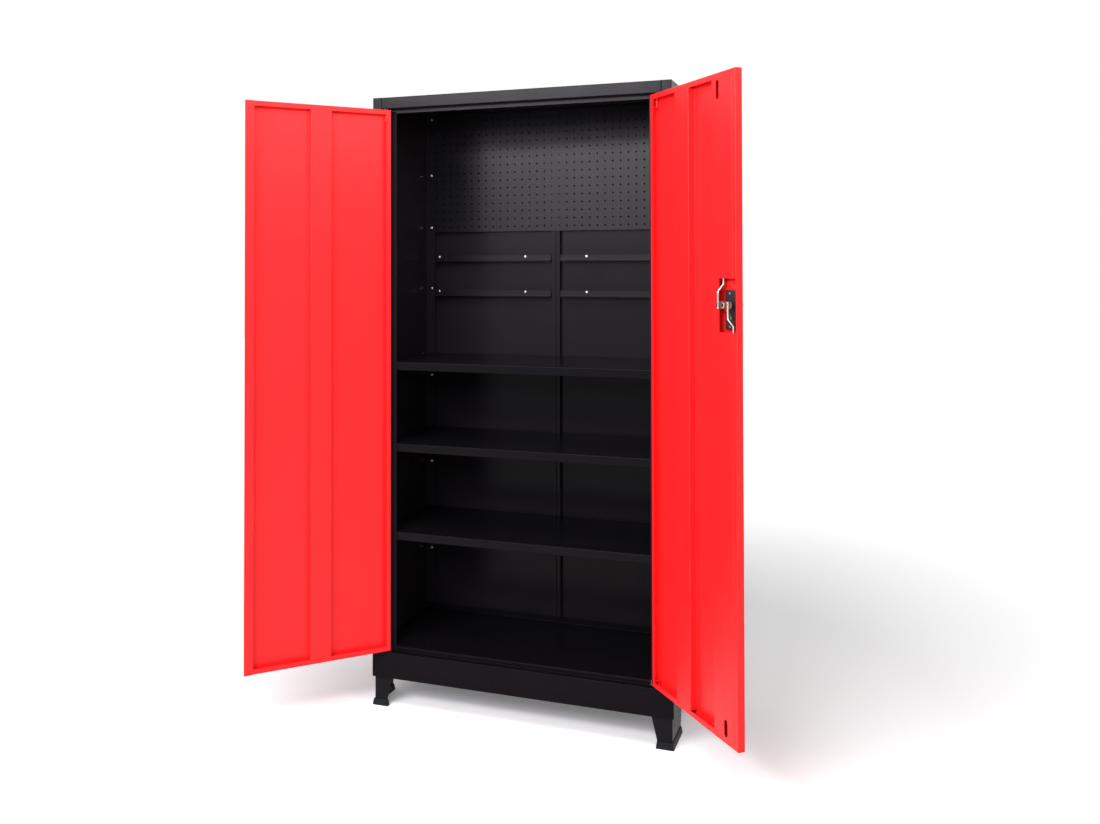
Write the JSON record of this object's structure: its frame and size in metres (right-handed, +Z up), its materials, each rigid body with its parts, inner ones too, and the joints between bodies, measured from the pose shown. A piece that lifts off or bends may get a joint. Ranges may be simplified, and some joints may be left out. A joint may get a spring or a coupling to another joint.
{
  "type": "two-door steel tool cabinet",
  "caption": "Tall sheet-steel tool cabinet with two hinged doors, shelves, a perforated tool panel, tool rails and a rod lock, on short angle legs.",
  "frame": {"origin": "on the floor, under the middle of the closed cabinet", "axes": "+X to the cabinet's right seen from the front, +Y to the back, +Z up; the doors open towards -Y"},
  "size_m": [1.3697, 0.7147, 1.8],
  "materials": {
    "black_paint": "satin black powder coat",
    "red_paint": "semi-gloss red powder coat",
    "zinc_plate": "bright zinc plating on small steel parts",
    "black_plastic": "fine-grained black moulded plastic",
    "bush_plastic": "black acetal"
  },
  "bodies": {
    "cabinet": {"top_cap": "black_paint", "base_tray": "black_paint", "side_panel_left": "black_paint", "side_panel_right": "black_paint", "back_panel_left": "black_paint", "back_panel_right": "black_paint", "pegboard": "black_paint", "shelf_lower": "black_paint", "shelf_middle": "black_paint", "shelf_upper": "black_paint", "tool_rail_upper_left": "black_paint", "tool_rail_upper_right": "black_paint", "tool_rail_lower_left": "black_paint", "tool_rail_lower_right": "black_paint", "leg_front_left": "black_paint", "leg_front_right": "black_paint", "leg_rear_left": "black_paint", "leg_rear_right": "black_paint", "leg_packers": "black_paint", "shelf_clips": "zinc_plate", "rail_screws": "zinc_plate", "back_screws": "zinc_plate", "leg_bolts": "zinc_plate", "rail_spacers": "zinc_plate", "foot_front_left": "black_plastic", "foot_front_right": "black_plastic", "foot_rear_left": "black_plastic", "foot_rear_right": "black_plastic", "hinge_bushes": "bush_plastic"},
    "door_left": {"door_left_panel": "red_paint", "door_left_stiffener": "red_paint", "door_left_meeting_strip": "red_paint", "door_left_bottom_hinge_bracket": "zinc_plate", "door_left_top_hinge_bracket": "zinc_plate", "door_left_bottom_hinge_pin": "zinc_plate", "door_left_top_hinge_pin": "zinc_plate"},
    "door_right": {"door_right_panel": "red_paint", "door_right_stiffener": "red_paint", "door_right_lock_channel": "red_paint", "door_right_bottom_hinge_bracket": "zinc_plate", "door_right_top_hinge_bracket": "zinc_plate", "door_right_bottom_hinge_pin": "zinc_plate", "door_right_top_hinge_pin": "zinc_plate", "lock_housing": "black_plastic", "rod_guides": "bush_plastic"},
    "lock_handle": {"lock_handle": "black_plastic", "lock_cam": "zinc_plate", "cam_nut": "zinc_plate"},
    "lock_plug": {"lock_plug": "zinc_plate"},
    "lock_rod_upper": {"lock_rod_upper": "zinc_plate"},
    "lock_rod_lower": {"lock_rod_lower": "zinc_plate"}
  },
  "joints": [
    {"name": "door_left_hinge", "type": "hinge", "parent": "cabinet", "child": "door_left", "pos_m": [-0.4095, -0.195, 0.963], "axis": [0, 0, 1], "range_deg": [-2, 133]},
    {"name": "door_right_hinge", "type": "hinge", "parent": "cabinet", "child": "door_right", "pos_m": [0.4095, -0.195, 0.963], "axis": [0, 0, 1], "range_deg": [-130.5, 4.5]},
    {"name": "lock_handle_turn", "type": "hinge", "parent": "door_right", "child": "lock_handle", "pos_m": [0.65003, -0.46431, 1.202], "axis": [0.7604, 0.6494, 0], "range_deg": [0, 60]},
    {"name": "lock_plug_turn", "type": "hinge", "parent": "lock_handle", "child": "lock_plug", "pos_m": [0.66676, -0.45002, 1.202], "axis": [0.7604, 0.6494, 0], "range_deg": [0, 90]},
    {"name": "lock_rod_upper_slide", "type": "slide", "parent": "door_right", "child": "lock_rod_upper", "axis": [0, 0, 1], "range_m": [0, 0.0186]},
    {"name": "lock_rod_lower_slide", "type": "slide", "parent": "door_right", "child": "lock_rod_lower", "axis": [0, 0, -1], "range_m": [0, 0.0187]}
  ],
  "couplings": [
    {"joint": "lock_handle_turn", "follows": "lock_rod_upper_slide", "rad_per_m": 56.29},
    {"joint": "lock_rod_lower_slide", "follows": "lock_rod_upper_slide", "ratio": 1}
  ]
}
